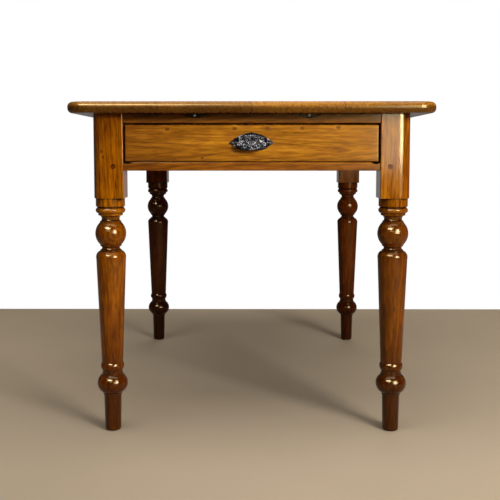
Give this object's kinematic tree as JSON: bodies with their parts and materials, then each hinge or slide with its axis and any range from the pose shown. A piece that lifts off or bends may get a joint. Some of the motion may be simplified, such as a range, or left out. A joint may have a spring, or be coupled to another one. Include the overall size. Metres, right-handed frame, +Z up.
{
  "type": "kitchen table",
  "caption": "Pine farmhouse kitchen table with a rounded plank top, turned legs and a sliding drawer with a cast iron cup handle in one end.",
  "frame": {"origin": "on the floor, below the middle of the top", "axes": "+X to the right seen from the drawer end, +Y from the drawer end to the far end, +Z up"},
  "size_m": [0.82, 1.12, 0.76],
  "materials": {
    "top_pine": "waxed",
    "leg_pine": "waxed",
    "frame_pine": "waxed",
    "drawer_pine": "waxed",
    "inner_pine": "bare",
    "peg_wood": "waxed",
    "handle_iron": "blackened, worn",
    "fastener_iron": "dull"
  },
  "bodies": {
    "table": {"top_board_1": "top_pine", "top_board_2": "top_pine", "top_board_3": "top_pine", "top_board_4": "top_pine", "leg_front_left": "leg_pine", "leg_front_right": "leg_pine", "leg_back_left": "leg_pine", "leg_back_right": "leg_pine", "side_apron_left": "frame_pine", "side_apron_right": "frame_pine", "far_apron": "frame_pine", "drawer_top_rail": "frame_pine", "drawer_bottom_rail": "frame_pine", "rail_pegs": "peg_wood", "side_apron_pegs": "peg_wood", "far_apron_pegs": "peg_wood", "drawer_runner_left": "inner_pine", "drawer_runner_right": "inner_pine", "drawer_guide_left": "inner_pine", "drawer_guide_right": "inner_pine", "drawer_kicker_left": "inner_pine", "drawer_kicker_right": "inner_pine", "drawer_stops": "inner_pine", "glue_blocks": "inner_pine", "runner_nails": "fastener_iron", "kicker_nails": "fastener_iron", "top_screws": "fastener_iron"},
    "drawer": {"drawer_front": "drawer_pine", "drawer_side_left": "inner_pine", "drawer_side_right": "inner_pine", "drawer_back": "inner_pine", "drawer_bottom_board_1": "inner_pine", "drawer_bottom_board_2": "inner_pine", "drawer_bottom_board_3": "inner_pine", "drawer_bottom_nails": "fastener_iron", "cup_handle": "handle_iron", "handle_screws": "fastener_iron"}
  },
  "joints": [
    {"name": "drawer_slide", "type": "slide", "parent": "table", "child": "drawer", "axis": [0, -1, 0], "range_m": [0, 0.4]}
  ]
}
